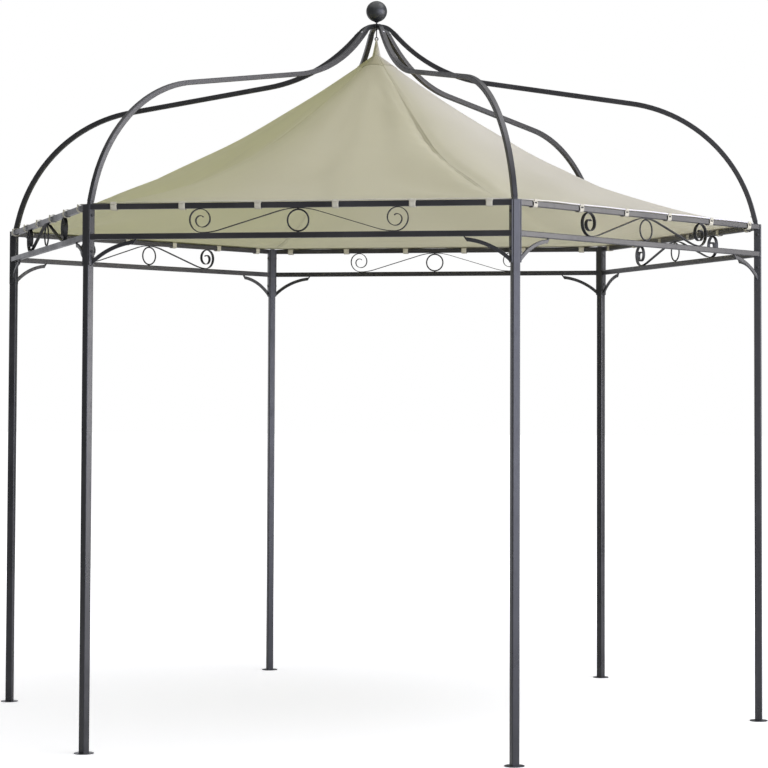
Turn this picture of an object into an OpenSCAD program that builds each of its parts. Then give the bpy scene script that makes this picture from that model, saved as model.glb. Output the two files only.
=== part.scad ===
// Six-sided garden gazebo: a bolted frame of square steel tube with scrollwork under the eave,
// six ogee arches that meet at a crown, and a sagging fabric canopy hung inside them.
// X points to the right-hand post, -Y to the front bay, Z up. The origin is the centre on the ground.

/* [Layout] */
// Distance from the centre of the gazebo to the centre of each post
post_circle_radius = 1750; // [1500:10:2200]
// Height of the post tops, which is also the top of the upper rails
eave_height = 2214; // [2000:1:2600]

/* [Posts] */
// Width of the square post tube
post_width = 32; // [28:1:45]
// Wall of the post tube
post_wall = 1.2; // [1:0.1:2.5]
// Outside corner radius of the post tube
post_corner = 4; // [3:0.5:6]
// Thickness of the plate that closes the top of a post
post_cap = 3; // [2:0.5:6]
// Diameter of the round foot plate under a post
foot_diameter = 80; // [76:1:140]
// Thickness of the foot plate
foot_thickness = 3; // [2:0.5:8]
// Number of anchor holes in a foot plate
anchor_holes = 4; // [2:1:8]
// Diameter of an anchor hole
anchor_hole_diameter = 7; // [4:0.5:8]

/* [Rails] */
// Width of the square upper rail
upper_rail_width = 23; // [18:0.5:27]
// Width of the square lower rail
lower_rail_width = 23; // [16:0.5:27]
// Wall of the rail tubes
rail_wall = 1.2; // [1:0.1:1.8]
// Outside corner radius of the rail and arch tubes
small_tube_corner = 2.5; // [2:0.1:3]
// Clear height between the upper and lower rails
rail_gap = 98.5; // [80:0.5:160]

/* [Corner brackets] */
// Width of the flat bar that fastens the rails to a post
end_bar_width = 28; // [28:1:32]
// Thickness of that bar
end_bar_thickness = 5; // [4:0.5:8]
// Length of bar below the middle of the brace's foot
end_bar_tail = 12; // [10:1:40]
// Height of the flat brace tube, in the plane it is bent in
brace_height = 15.5; // [10:0.5:16]
// Depth of the brace tube, across the bay
brace_depth = 8.5; // [7:0.5:16]
// Wall of the brace tube
brace_wall = 1; // [0.8:0.1:1.3]
// Outside corner radius of the brace tube
brace_corner = 1.5; // [1.5:0.1:3]
// Distance from the end bar to the brace's inner end, along the rail
brace_reach = 175; // [140:1:300]
// Height from the brace's foot up to the underside of the lower rail
brace_drop = 92; // [80:1:200]
// Height from the middle of the brace's inner end up to the rail
brace_tab_height = 11.5; // [10.5:0.5:25]
// Thickness of the tab that joins the brace to the rail
brace_tab_thickness = 5; // [3:0.5:8]
// Lean of that tab from upright, in degrees
brace_tab_lean = 35; // [0:1:45]
// Slope of the brace where it meets the tab, in degrees
brace_top_slope = 6; // [0:1:12]

/* [Scrollwork] */
// Width of the flat strip, across the bay
strip_width = 15; // [8:0.5:20]
// Thickness of the strip
strip_thickness = 3; // [2:0.5:5]
// Distance between the outer sides of the two coils in a bay
scroll_length = 898; // [820:1:1000]
// Bend radius where the strip rises from the lower rail
scroll_foot_radius = 250; // [200:5:300]
// Bend radius where the strip levels out under the upper rail
scroll_top_radius = 285; // [200:5:340]
// Angle of the last part turn of a coil
coil_end_angle = 60; // [20:5:90]
// Thickness of the round rod of the middle ring
ring_rod = 7; // [5:0.5:10]
// Length of the weld at the top and bottom of the ring
ring_weld = 8; // [5:0.5:12]
// Thickness of that weld
ring_bead = 1; // [0.5:0.1:2]

/* [Arches] */
// Width of the square arch tube
arch_width = 22; // [18:0.5:24]
// Wall of the arch tube
arch_wall = 1.2; // [1:0.1:1.6]
// Offset of the arch's foot from the post's centre, towards the gazebo's centre
arch_inset = 7; // [0:0.5:8]
// Visible neck between the post's top and the arch
arch_neck = 12; // [8:1:25]
// Lean of the arch's foot from upright, in degrees
arch_lean = 14; // [10:1:20]
// Straight length at each end of an arch, which takes a spigot
arch_socket = 45; // [40:1:60]
// Bend radius of the arch's shoulder
arch_shoulder_radius = 670; // [500:5:750]
// Slope of the arch between its two bends, in degrees
arch_slope = 9; // [5:0.5:15]
// Bend radius where the arch turns up to the crown
arch_crown_radius = 705; // [600:5:900]
// Slope of the arch where it meets the crown, in degrees
arch_crown_slope = 46.5; // [38:0.5:48]
// Total play of a spigot in an arch tube
spigot_play = 1; // [0.4:0.1:1.5]
// Length of spigot inside an arch tube
spigot_length = 38; // [25:1:39]

/* [Crown] */
// Bend radius of a crown arm
crown_bend_radius = 75; // [65:1:95]
// Visible straight part of a crown arm next to the arch
crown_arm_straight = 8; // [5:0.5:15]
// Radius of the boss that the six arms are welded to
crown_boss_radius = 22; // [20:0.5:26]
// Distance that an arm reaches into the boss
crown_arm_bury = 4; // [2:0.5:5]
// Height of the boss above and below the arms
crown_boss_lip = 1.5; // [1:0.5:4]
// Diameter of the stud that carries the ball
stud_diameter = 8; // [6:0.5:10]
// Length of stud inside the ball, above its collar
stud_reach = 32; // [10:1:50]
// Length of the bare stud between the boss and the ball's collar
stud_neck = 9; // [3:0.5:15]
// Diameter of the ball on the crown
ball_diameter = 97; // [80:1:120]
// Wall of the hollow ball
ball_wall = 2; // [1.5:0.5:5]
// Height of the collar under the ball
ball_collar = 10; // [8:0.5:15]
// Distance that the collar reaches into the ball
ball_collar_bury = 7; // [6:0.5:7]
// Diameter of the collar at its top
ball_collar_top = 44; // [20:1:44]
// Wall of the collar at its foot
ball_collar_wall = 2; // [1:0.5:4]
// Total play of the ball on its stud
ball_play = 0.4; // [0.2:0.1:1]
// Diameter of the wire of the hook under the crown
hook_wire = 5; // [4:0.5:7]
// Radius of the hook's eye, to the middle of the wire
hook_eye_radius = 7; // [7:0.5:14]
// Distance from the boss down to the bottom of the eye
hook_drop = 56; // [45:1:80]

/* [Canopy] */
// Thickness of the canopy as a solid
canopy_thickness = 3; // [2:0.5:5]
// Radius of the canopy's closed peak
canopy_peak_radius = 9; // [8:0.5:15]
// Height of the pulled-up point of the canopy
canopy_point_height = 48; // [25:1:60]
// Radius over which the canopy is pulled up to that point
canopy_point_radius = 42; // [40:1:90]
// How strongly the hip seams sag, where 1 is a straight line
canopy_sag = 1.7; // [1.2:0.05:2.2]
// How far the middle of each gore stands above its hips
canopy_fullness = 75; // [20:1:110]
// Width of the flat hem that lies on the rails
hem_width = 26; // [24:1:60]
// How far the hem reaches past the outer face of the rails
hem_overhang = 1; // [0:0.5:10]
// Clear distance from the canopy's cut-off corner to the arch's spigot
corner_clearance = 8; // [5:1:40]
// Width of the webbing loop that hangs on the hook
loop_width = 9; // [6:0.5:10]
// Gap between the loop and the hook's wire
loop_play = 1; // [0.5:0.1:2]
// Distance from the hook's eye down to the canopy's peak
loop_drop = 12; // [12:0.5:30]

/* [Straps] */
// Number of straps along one bay
straps_per_bay = 6; // [2:1:8]
// Distance from one strap to the next
strap_spacing = 308; // [100:1:310]
// Width of a strap, along the rail
strap_width = 26; // [15:0.5:40]
// Thickness of a strap
strap_thickness = 1.6; // [1:0.1:3]
// Gap between a strap and the rail
strap_slack = 0.2; // [0.1:0.1:1]

/* [Hidden] */
$fn = 180;
BAYS = ["front", "front_right", "back_right", "back", "back_left", "front_left"];
CORNERS = ["front_right", "right", "back_right", "back_left", "left", "front_left"];
// Radii of a coil's quarter turns, as shares of the height that the strip's middle line rises
COIL = [0.55, 0.45, 0.43, 0.34, 0.275, 0.21, 0.13];
half_bay_angle = 30;
corner_steps = 3;
small_fn = 48;
// How far the steps of a sweep reach into each other, and how much each is slimmer, as a share
joint_lap = 0.1;
joint_taper = 0.001;
weld_depth = 1;
fabric_rings = 10;
fabric_steps = 4;
// How the fabric's rings crowd towards the peak, where 1 is evenly spaced
fabric_crowding = 1.5;

half_side = post_circle_radius * sin(half_bay_angle);
apothem = post_circle_radius * cos(half_bay_angle);
// The rails' middle line runs through the middle of the post faces that it meets
rail_distance = apothem + post_width / 2 * sin(half_bay_angle);
bar_face = post_width / 2 + end_bar_thickness;
bar_face_along = half_side - bar_face / cos(half_bay_angle)
               + (rail_distance - apothem) * tan(half_bay_angle);
upper_rail_middle = eave_height - upper_rail_width / 2;
upper_rail_bottom = eave_height - upper_rail_width;
lower_rail_top = upper_rail_bottom - rail_gap;
lower_rail_middle = lower_rail_top - lower_rail_width / 2;
lower_rail_bottom = lower_rail_top - lower_rail_width;
brace_foot_height = lower_rail_bottom - brace_drop;
bar_bottom = brace_foot_height - end_bar_tail;

// The arch's path, from its foot to its top end
spigot_width = arch_width - 2 * arch_wall - spigot_play;
spigot_base = post_circle_radius - arch_inset;
arch_foot_radius = spigot_base - arch_neck * tan(arch_lean);
arch_foot_height = eave_height + arch_neck;
crown_core_radius = crown_boss_radius - crown_arm_bury;
arch_top_radius = crown_core_radius + crown_bend_radius * sin(arch_crown_slope)
                + crown_arm_straight * cos(arch_crown_slope);
arch_run = arch_foot_radius - arch_top_radius - arch_socket * sin(arch_lean)
         - arch_shoulder_radius * (cos(arch_lean) - sin(arch_slope))
         - arch_crown_radius * (sin(arch_crown_slope) - sin(arch_slope))
         - arch_socket * cos(arch_crown_slope);
arch_straight = arch_run / cos(arch_slope);
arch_top_height = arch_foot_height + arch_socket * cos(arch_lean)
                + arch_shoulder_radius * (cos(arch_slope) - sin(arch_lean))
                + arch_straight * sin(arch_slope)
                + arch_crown_radius * (cos(arch_slope) - cos(arch_crown_slope))
                + arch_socket * sin(arch_crown_slope);
crown_height = arch_top_height + crown_arm_straight * sin(arch_crown_slope)
             + crown_bend_radius * (1 - cos(arch_crown_slope));
boss_top = crown_height + spigot_width / 2 + crown_boss_lip;
boss_bottom = crown_height - spigot_width / 2 - crown_boss_lip;
collar_bottom = boss_top + stud_neck;
ball_middle = collar_bottom + ball_collar + ball_diameter / 2 - ball_collar_bury;
eye_bottom = boss_bottom - hook_drop;
eye_middle = eye_bottom + hook_wire / 2 + hook_eye_radius;

// The canopy's levels, from its seat on the straps to its peak
strap_top = eave_height + strap_slack + strap_thickness;
hem_top = strap_top + canopy_thickness;
canopy_peak = eye_bottom - loop_drop;
canopy_rise = canopy_peak - canopy_point_height - hem_top;
hem_distance = rail_distance + upper_rail_width / 2 + hem_overhang;
corner_cut = spigot_base - arch_neck * tan(arch_lean) - spigot_width / 2 - corner_clearance;
// Half the angle that a cut-off corner of the canopy takes up
corner_angle = atan((hem_distance - corner_cut * cos(half_bay_angle))
                    / (corner_cut * sin(half_bay_angle)));

// ---- Shapes that several pieces share ----

function arc(radius, from, to, middle, steps) =
    [for (i = [0:steps])
        let (a = from + (to - from) * i / steps)
        middle + radius * [cos(a), sin(a)]];

function rounded_rectangle(height, depth, radius) =
    [for (turn = [0:3])
        let (sx = turn == 0 || turn == 3 ? 1 : -1, sy = turn < 2 ? 1 : -1)
        each arc(radius, turn * 90, turn * 90 + 90,
                 [sx * (height / 2 - radius), sy * (depth / 2 - radius)], corner_steps)];

function rounded_square(width, radius) = rounded_rectangle(width, width, radius);

module tube_section(height, depth, wall, corner) {
    difference() {
        polygon(rounded_rectangle(height, depth, corner));
        polygon(rounded_rectangle(height - 2 * wall, depth - 2 * wall, corner - wall));
    }
}

// Sweeps a flat section along straights, [length], and bends, [radius, angle]. It starts at the
// origin along Z, and a positive angle turns towards +X. Each step reaches back into the one
// before it, and is a hair slimmer, so that no two of their faces lie on each other.
module sweep(steps, i = 0) {
    if (i < len(steps)) {
        size = steps[i][0];
        slim = 1 - joint_taper * i;
        lap = i > 0 ? joint_lap : 0;
        if (len(steps[i]) == 1) {
            translate([0, 0, -lap]) linear_extrude(size + lap) scale(slim) children();
            translate([0, 0, size]) sweep(steps, i + 1) children();
        } else {
            angle = abs(steps[i][1]);
            back = lap / size * 180 / PI;
            turn = steps[i][1] < 0 ? 180 : 0;
            rotate(turn) {
                translate([size, 0, 0]) rotate([90, 0, 180])
                    rotate_extrude(angle = angle + back, start = -back)
                        translate([size, 0]) scale(slim) children();
                translate([size * (1 - cos(angle)), 0, size * sin(angle)]) rotate([0, angle, 0])
                    rotate(-turn) sweep(steps, i + 1) children();
            }
        }
    }
}

// All that lies beyond a bracket's bar, seen from the middle of the front bay
module beyond_bar(depth) {
    reach = post_circle_radius;
    for (side = [-1, 1])
        translate([side * half_side, -apothem, 0])
            rotate(side > 0 ? 180 + half_bay_angle : -half_bay_angle)
                translate([-reach, -reach / 2, 0]) cube([reach + depth, reach, 2 * eave_height]);
}

// ---- Posts and their feet ----

// A tube with a closed top and a leaning spigot that the arch slides over
module post() {
    color("#3c3c3f") {
        difference() {
            translate([post_circle_radius, 0, foot_thickness])
                linear_extrude(eave_height - foot_thickness)
                    polygon(rounded_square(post_width, post_corner));
            translate([post_circle_radius, 0, 0])
                linear_extrude(eave_height - post_cap)
                    polygon(rounded_square(post_width - 2 * post_wall, post_corner - post_wall));
        }
        difference() {
            translate([spigot_base, 0, eave_height]) rotate([0, -arch_lean, 0])
                translate([0, 0, -spigot_width])
                    linear_extrude(spigot_width + arch_neck / cos(arch_lean) + spigot_length)
                        square(spigot_width, center = true);
            translate([spigot_base, 0, eave_height - post_cap / 2 - 2 * spigot_width])
                linear_extrude(2 * spigot_width)
                    square(4 * spigot_width, center = true);
        }
    }
}

// A round plate under each post, with its anchor holes midway between the post and the rim
module foot_plates() {
    hole_circle = (post_width + foot_diameter) / 4;
    color("#3c3c3f")
        for (k = [0:5])
            rotate(60 * k) translate([post_circle_radius, 0, 0])
                difference() {
                    cylinder(h = foot_thickness, d = foot_diameter);
                    for (hole = [0:anchor_holes - 1])
                        rotate(360 / anchor_holes * hole) translate([hole_circle, 0, -1])
                            cylinder(h = foot_thickness + 2, d = anchor_hole_diameter, $fn = small_fn);
                }
}

// ---- One side panel, in the front bay ----

module rail(width, height) {
    difference() {
        translate([-half_side, -rail_distance, height]) rotate([0, 90, 0])
            linear_extrude(2 * half_side) tube_section(width, width, rail_wall, small_tube_corner);
        beyond_bar(bar_face);
    }
}

module upper_rail() {
    color("#343437") rail(upper_rail_width, upper_rail_middle);
}

module lower_rail() {
    color("#343437") rail(lower_rail_width, lower_rail_middle);
}

// The flat bar on the post, the curved brace welded to it, and the tab up to the lower rail
module right_bracket() {
    fall = brace_drop - brace_tab_height;
    chord_slope = atan(fall / brace_reach);
    foot_slope = 2 * chord_slope - brace_top_slope;
    turn = foot_slope - brace_top_slope;
    bend_radius = norm([brace_reach, fall]) / (2 * sin(turn / 2));
    lead = 2 * brace_height;
    lean = tan(brace_tab_lean);
    half_tab = brace_tab_thickness / 2 / cos(brace_tab_lean);
    below = brace_height / 2 + weld_depth;
    color("#3c3c3f") {
        translate([half_side, -apothem, bar_bottom]) rotate(180 + half_bay_angle)
            translate([post_width / 2, -end_bar_width / 2, 0])
                cube([end_bar_thickness, end_bar_width, eave_height - bar_bottom]);
        translate([bar_face_along - brace_reach, -rail_distance, lower_rail_bottom - brace_tab_height])
            rotate([90, 0, 0])
                translate([0, 0, -brace_depth / 2]) linear_extrude(brace_depth)
                    polygon([[half_tab - brace_tab_height * lean, brace_tab_height],
                             [-half_tab - brace_tab_height * lean, brace_tab_height],
                             [-half_tab + below * lean, -below],
                             [half_tab + below * lean, -below]]);
        difference() {
            translate([bar_face_along - brace_reach, -rail_distance, lower_rail_bottom - brace_tab_height])
                rotate([0, 90 + brace_top_slope, 0]) translate([0, 0, -lead])
                    sweep([[lead], [bend_radius, turn], [lead]])
                        tube_section(brace_height, brace_depth, brace_wall, brace_corner);
            beyond_bar(post_width / 2 + end_bar_thickness / 2);
            translate([bar_face_along - brace_reach, -rail_distance, lower_rail_bottom - brace_tab_height])
                rotate([90, 0, 0])
                    translate([0, 0, -lead]) linear_extrude(2 * lead)
                        polygon([[-lead * lean, lead], [lead * lean, -lead],
                                 [-3 * lead, -lead], [-3 * lead, lead]]);
        }
    }
}

// Both brackets of one post: one for the bay on each side of it
module corner_bracket() {
    right_bracket();
    rotate(2 * half_bay_angle) mirror([1, 0, 0]) right_bracket();
}

// Two mirrored scrolls bent from one flat strip, and a welded ring under the middle
module scrollwork() {
    rise = rail_gap - strip_thickness;
    coil_radii = rise * COIL;
    run = scroll_length / 2 - strip_thickness / 2 - coil_radii[0];
    bends = scroll_foot_radius + scroll_top_radius;
    slope = asin(bends / norm([run, bends - rise])) - atan2(bends - rise, run);
    straight = (run - bends * sin(slope)) / cos(slope);
    coil = [for (k = [0:len(COIL) - 1])
        [coil_radii[k], k < len(COIL) - 1 ? 90 : coil_end_angle]];
    ring_radius = (rail_gap - strip_thickness) / 2 - ring_bead - ring_rod / 2;
    ring_middle = lower_rail_top + ring_bead + ring_rod / 2 + ring_radius;
    color("#29292b") translate([0, -rail_distance, 0]) {
        for (side = [0, 1])
            mirror([side, 0, 0])
                translate([0, 0, upper_rail_bottom - strip_thickness / 2]) rotate([0, -90, 0])
                    sweep(concat([[scroll_top_radius, -slope], [straight],
                                  [scroll_foot_radius, slope]], coil))
                        square([strip_thickness, strip_width], center = true);
        translate([0, 0, ring_middle]) rotate([90, 0, 0])
            rotate_extrude() translate([ring_radius, 0]) circle(d = ring_rod, $fn = small_fn);
        for (level = [lower_rail_top, upper_rail_bottom - strip_thickness - ring_bead - weld_depth])
            translate([-ring_weld / 2, -ring_rod / 4, level])
                cube([ring_weld, ring_rod / 2, ring_bead + 2 * weld_depth]);
    }
}

// ---- Arches, crown and ball ----

module arch() {
    color("#3c3c3f")
        translate([arch_foot_radius, 0, arch_foot_height]) rotate([0, -arch_lean, 0])
            sweep([[arch_socket],
                   [arch_shoulder_radius, arch_lean + arch_slope - 90],
                   [arch_straight],
                   [arch_crown_radius, arch_crown_slope - arch_slope],
                   [arch_socket]])
                tube_section(arch_width, arch_width, arch_wall, small_tube_corner);
}

// Six bent arms on a boss, each with a spigot in an arch, and the stud for the ball
module crown_hub() {
    color("#303033") {
        for (k = [0:5])
            rotate(60 * k) translate([arch_top_radius, 0, arch_top_height])
                rotate([0, arch_crown_slope - 90, 0]) translate([0, 0, -spigot_length])
                    sweep([[spigot_length + crown_arm_straight],
                           [crown_bend_radius, -arch_crown_slope]])
                        square(spigot_width, center = true);
        translate([0, 0, boss_bottom])
            cylinder(h = boss_top - boss_bottom, r = crown_boss_radius);
        translate([0, 0, boss_top - weld_depth])
            cylinder(h = weld_depth + stud_neck + ball_collar + stud_reach, d = stud_diameter,
                     $fn = small_fn);
    }
}

// A hollow ball with a tapered collar, bored for the stud
module ball_finial() {
    bore = stud_diameter + ball_play;
    color("#303033")
        difference() {
            union() {
                translate([0, 0, ball_middle]) sphere(d = ball_diameter);
                translate([0, 0, collar_bottom])
                    cylinder(h = ball_collar, d1 = bore + 2 * ball_collar_wall, d2 = ball_collar_top);
            }
            translate([0, 0, ball_middle]) sphere(d = ball_diameter - 2 * ball_wall);
            translate([0, 0, collar_bottom - 1])
                cylinder(h = ball_diameter / 2, d = bore, $fn = small_fn);
        }
}

// The eye that the canopy hangs from
module canopy_hook() {
    eye_top = eye_middle + hook_eye_radius;
    color("#5a5a5d") {
        translate([0, 0, eye_top]) cylinder(h = boss_bottom - eye_top, d = hook_wire, $fn = small_fn);
        translate([0, 0, eye_middle]) rotate([90, 0, 0])
            rotate_extrude() translate([hook_eye_radius, 0]) circle(d = hook_wire, $fn = small_fn);
    }
}

// ---- Canopy, its loop and its straps ----

// A flat webbing loop through the hook's eye, sewn to the peak
module canopy_loop() {
    top = eye_bottom + hook_wire + loop_play;
    width = hook_wire + 2 * loop_play;
    color("#d8d5c4")
        translate([-loop_width / 2, 0, 0]) rotate([90, 0, 90])
            linear_extrude(loop_width)
                difference() {
                    translate([-width / 2 - strap_thickness, canopy_peak])
                        square([width + 2 * strap_thickness, top + strap_thickness - canopy_peak]);
                    translate([-width / 2, canopy_peak + strap_thickness])
                        square([width, top - canopy_peak - strap_thickness]);
                }
}

// How high the fabric's outer side is at share t of the way out, and share u from a gore's
// middle to its hip
function canopy_height(t, u) =
    let (share = min(1, t / (1 - hem_width / hem_distance)),
         pull = max(0, 1 - t * post_circle_radius / canopy_point_radius))
    hem_top + canopy_rise * pow(1 - share, canopy_sag)
    + canopy_point_height * pow(pull, 2)
    + canopy_fullness * 4 * share * (1 - share) * (1 - u * u);

// A tent of six gores that meet in sagging hips, open below
module canopy() {
    first = canopy_peak_radius / post_circle_radius;
    band = 1 - hem_width / hem_distance;
    rings = concat([for (i = [0:fabric_rings])
        first + (band - first) * pow(i / fabric_rings, fabric_crowding)], [1]);
    half = concat([0], [for (i = [0:fabric_steps])
        corner_angle + (half_bay_angle - corner_angle) * i / fabric_steps]);
    gore = concat(half, [for (i = [fabric_steps:-1:1]) 2 * half_bay_angle - half[i]]);
    angles = [for (k = [0:5], a = gore) 60 * k + a];
    n = len(angles);
    m = len(rings);
    function edge(a) =
        let (from_hip = min(a % 60, 60 - a % 60))
        min(hem_distance / cos(half_bay_angle - from_hip), corner_cut / cos(from_hip));
    function across(a) = abs(tan(a % 60 - half_bay_angle)) / tan(half_bay_angle);
    outer = [for (t = rings, a = angles)
        [t * edge(a) * cos(a), t * edge(a) * sin(a), canopy_height(t, across(a))]];
    inner = [for (p = outer) p - [0, 0, canopy_thickness]];
    function at(side, ring, k) = side * n * m + ring * n + k % n;
    skin = [for (ring = [0:m - 2], k = [0:n - 1]) each [
        [at(0, ring, k), at(0, ring, k + 1), at(0, ring + 1, k + 1)],
        [at(0, ring, k), at(0, ring + 1, k + 1), at(0, ring + 1, k)],
        [at(1, ring, k + 1), at(1, ring, k), at(1, ring + 1, k + 1)],
        [at(1, ring + 1, k + 1), at(1, ring, k), at(1, ring + 1, k)]]];
    rim = [for (k = [0:n - 1]) each [
        [at(0, m - 1, k), at(0, m - 1, k + 1), at(1, m - 1, k + 1)],
        [at(0, m - 1, k), at(1, m - 1, k + 1), at(1, m - 1, k)]]];
    top = 2 * n * m;
    cap = [for (k = [0:n - 1]) each [
        [at(0, 0, k + 1), at(0, 0, k), top],
        [at(1, 0, k), at(1, 0, k + 1), top + 1]]];
    peak_height = canopy_height(first, 0);
    color("#c9c5b0")
        polyhedron(
            concat(outer, inner, [[0, 0, peak_height], [0, 0, peak_height - canopy_thickness]]),
            concat(skin, rim, cap));
}

// Straps round the upper rails, evenly spaced from the middle of each bay
module canopy_straps() {
    inside = upper_rail_width + 2 * strap_slack;
    outside = inside + 2 * strap_thickness;
    first = -(straps_per_bay - 1) / 2 * strap_spacing;
    color("#ece8da")
        for (k = [0:5], i = [0:straps_per_bay - 1])
            rotate(60 * k)
                translate([first + i * strap_spacing - strap_width / 2, -rail_distance, upper_rail_middle])
                    rotate([90, 0, 90]) linear_extrude(strap_width)
                        difference() {
                            square(outside, center = true);
                            square(inside, center = true);
                        }
}

// ---- The nodes ----

for (k = [0:5]) {
    rotate(60 * k - 60) post();
    rotate(60 * k) corner_bracket();
    rotate(60 * k) upper_rail();
    rotate(60 * k) lower_rail();
    rotate(60 * k) scrollwork();
    rotate(60 * k - 60) arch();
}
foot_plates();
crown_hub();
ball_finial();
canopy_hook();
canopy_loop();
canopy();
canopy_straps();
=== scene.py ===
import bmesh
import bpy
import math
from mathutils import Matrix, Vector, noise


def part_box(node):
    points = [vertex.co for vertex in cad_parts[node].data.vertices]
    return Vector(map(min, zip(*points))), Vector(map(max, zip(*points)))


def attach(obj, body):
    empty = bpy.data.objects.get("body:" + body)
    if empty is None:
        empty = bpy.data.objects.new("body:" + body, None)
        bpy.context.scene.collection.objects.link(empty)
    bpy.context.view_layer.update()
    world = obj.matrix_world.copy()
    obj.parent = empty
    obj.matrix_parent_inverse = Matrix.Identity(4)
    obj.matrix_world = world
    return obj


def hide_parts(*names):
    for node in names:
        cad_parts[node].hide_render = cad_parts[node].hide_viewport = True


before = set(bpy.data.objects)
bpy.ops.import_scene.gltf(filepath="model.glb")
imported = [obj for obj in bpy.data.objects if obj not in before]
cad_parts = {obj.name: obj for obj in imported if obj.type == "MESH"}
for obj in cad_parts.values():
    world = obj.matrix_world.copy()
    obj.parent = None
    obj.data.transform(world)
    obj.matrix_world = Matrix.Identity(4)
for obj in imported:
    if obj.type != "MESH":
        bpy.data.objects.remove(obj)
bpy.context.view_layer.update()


# ---- Posts ----
# Six square steel tubes, each welded to a round foot plate and closed by a cap at the top.
# They are powder coated in a semi-gloss anthracite, thinner and lighter along the corners, partly worn
# and partly a painted highlight.

class Wire:
    """A shader socket that can be used in sums: each operator adds its Math node."""

    def __init__(self, paint, socket):
        self.paint, self.socket = paint, socket

    def math(self, operation, first, second=0.0):
        return self.paint.add("ShaderNodeMath", {"operation": operation}, {0: first, 1: second})

    def __add__(self, other):
        return self.math("ADD", self, other)

    def __radd__(self, other):
        return self.math("ADD", other, self)

    def __sub__(self, other):
        return self.math("SUBTRACT", self, other)

    def __rsub__(self, other):
        return self.math("SUBTRACT", other, self)

    def __mul__(self, other):
        return self.math("MULTIPLY", self, other)

    def __rmul__(self, other):
        return self.math("MULTIPLY", other, self)

    def __abs__(self):
        return self.math("ABSOLUTE", self)

    def sine(self):
        return self.math("SINE", self)

    def above(self, limit):
        return self.math("GREATER_THAN", self, limit)

    def fraction(self):
        return self.math("FRACT", self)

    def larger(self, other):
        return self.math("MAXIMUM", self, other)


class Paint:
    """A material that is built node by node."""

    def __init__(self, name):
        self.material = bpy.data.materials.new(name)
        self.material.use_nodes = True
        self.tree = self.material.node_tree
        self.tree.nodes.clear()

    def add(self, kind, settings, inputs, output=0):
        """Adds a node, sets it up, then fills its sockets with numbers, colours or wires."""
        node = self.tree.nodes.new(kind)
        for name, value in settings.items():
            setattr(node, name, value)
        for name, value in inputs.items():
            if isinstance(value, Wire):
                self.tree.links.new(value.socket, node.inputs[name])
            else:
                node.inputs[name].default_value = value
        return Wire(self, node.outputs[output]) if node.outputs else None

    def place(self):
        """Where a point is on the object, in metres."""
        return self.add("ShaderNodeTexCoord", {}, {}, "Object")

    def uv(self):
        """Where a point is on the cloth: its distance from the nearest hip, and how far down it is."""
        return self.add("ShaderNodeUVMap", {"uv_map": "cloth"}, {})

    def cloud(self, scale, detail=3.0, stretch=(1, 1, 1), where=None):
        """Soft noise from 0 to 1, at a scale in waves a metre."""
        spot = self.add("ShaderNodeMapping", {}, {"Vector": where or self.place(), "Scale": stretch})
        return self.add("ShaderNodeTexNoise", {}, {"Vector": spot, "Scale": scale, "Detail": detail})

    def blend(self, share, first, second, how="MIX"):
        """A mix of two colours."""
        return self.add("ShaderNodeMix", {"data_type": "RGBA", "blend_type": how},
                        {0: share, 6: first, 7: second}, 2)

    def split(self, vector):
        """The X and Y of a vector."""
        x = self.add("ShaderNodeSeparateXYZ", {}, {"Vector": vector}, "X")
        return x, Wire(self, x.socket.node.outputs["Y"])

    def band(self, value, low, high):
        """0 below low, 1 above high, and a smooth step between them."""
        return self.add("ShaderNodeMapRange", {"interpolation_type": "SMOOTHSTEP"},
                        {"Value": value, "From Min": low, "From Max": high})

    def bump(self, height, distance, strength=1.0, normal=None):
        """A normal tilted by a height, on top of another normal where one is given."""
        inputs = {"Height": height, "Distance": distance, "Strength": strength}
        if normal:
            inputs["Normal"] = normal
        return self.add("ShaderNodeBump", {}, inputs)

    def finish(self, shader):
        """Sends the shader to the output, and gives the material."""
        self.add("ShaderNodeOutputMaterial", {}, {"Surface": shader})
        return self.material


WORN_AND_HIGHLIGHT_EDGE = (0.20, 0.20, 0.215, 1)


def powder_coat(name, dark, light, gloss, edge_width=0.0022):
    """Baked powder paint: orange peel, faint dust in patches, and corners lighter, partly worn and
    partly a painted highlight.
    """
    paint = Paint(name)
    patches = paint.band(paint.cloud(6.0, 4.0), 0.35, 0.75)
    dust = paint.band(paint.cloud(55.0, 5.0, (1, 1, 0.35)), 0.5, 0.8)
    rounded = paint.add("ShaderNodeBevel", {"samples": 4}, {"Radius": edge_width})
    flat = paint.add("ShaderNodeNewGeometry", {}, {}, "Normal")
    turn = paint.add("ShaderNodeVectorMath", {"operation": "DOT_PRODUCT"},
                     {0: rounded, 1: flat}, "Value")
    # the corners are lightened in the base colour: partly wear, partly a painted highlight along the
    # edges
    wear_and_highlight = paint.band(1 - turn, 0.004, 0.12) * (0.35 + 0.65 * dust)
    colour = paint.blend(patches, dark, light)
    colour = paint.blend(wear_and_highlight * 0.5, colour, WORN_AND_HIGHLIGHT_EDGE)
    peel = paint.bump(paint.cloud(900.0, 2.0), 0.00004, 0.4, rounded)
    return paint.finish(paint.add("ShaderNodeBsdfPrincipled", {}, {
        "Base Color": colour,
        "Roughness": gloss + 0.10 * patches + 0.12 * dust,
        "Specular IOR Level": 0.75,
        "Normal": peel}))


POST_PAINT = powder_coat("post_powder_coat", (0.018, 0.018, 0.021, 1), (0.028, 0.028, 0.033, 1), 0.27)
CORNERS = ("front_right", "right", "back_right", "back_left", "left", "front_left")
BAYS = ("front", "front_right", "back_right", "back", "back_left", "front_left")


def coat(node, material):
    """Gives a node of the frame its finish."""
    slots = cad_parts[node].data.materials
    slots.clear()
    slots.append(material)


for corner in CORNERS:
    coat("post_" + corner, POST_PAINT)
coat("foot_plates", POST_PAINT)


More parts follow.
